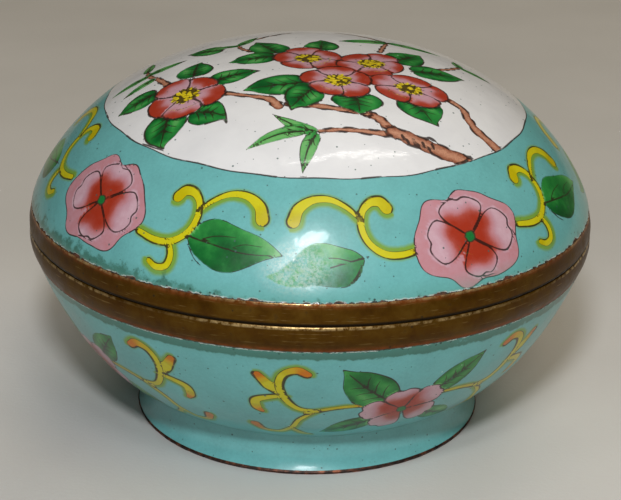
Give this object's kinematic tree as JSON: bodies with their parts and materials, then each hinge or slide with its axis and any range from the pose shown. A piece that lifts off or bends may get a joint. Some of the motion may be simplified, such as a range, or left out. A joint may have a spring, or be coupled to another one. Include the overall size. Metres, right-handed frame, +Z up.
{
  "type": "painted enamel box",
  "caption": "Round covered box of painted enamel on copper: domed lift-off lid, brass rims, low bowl on a flared foot ring.",
  "frame": {"origin": "centre of the foot ring's underside, on the surface the box stands on", "axes": "+Z up along the axis that the box is turned about, -Y towards the front of the painting"},
  "size_m": [0.102, 0.102, 0.0675],
  "materials": {
    "turquoise_enamel": "glossy vitreous enamel on copper sheet, painted with flowers and scrolls",
    "lid_enamel": "glossy vitreous enamel on copper sheet, a white panel with blossom in a turquoise border",
    "rim_brass": "tarnished brass, rubbed bright on its edge"
  },
  "bodies": {
    "root": {"foot_ring": "turquoise_enamel", "bowl": "turquoise_enamel", "bowl_rim": "rim_brass", "lid_rim": "rim_brass", "lid_dome": "lid_enamel"}
  },
  "joints": []
}
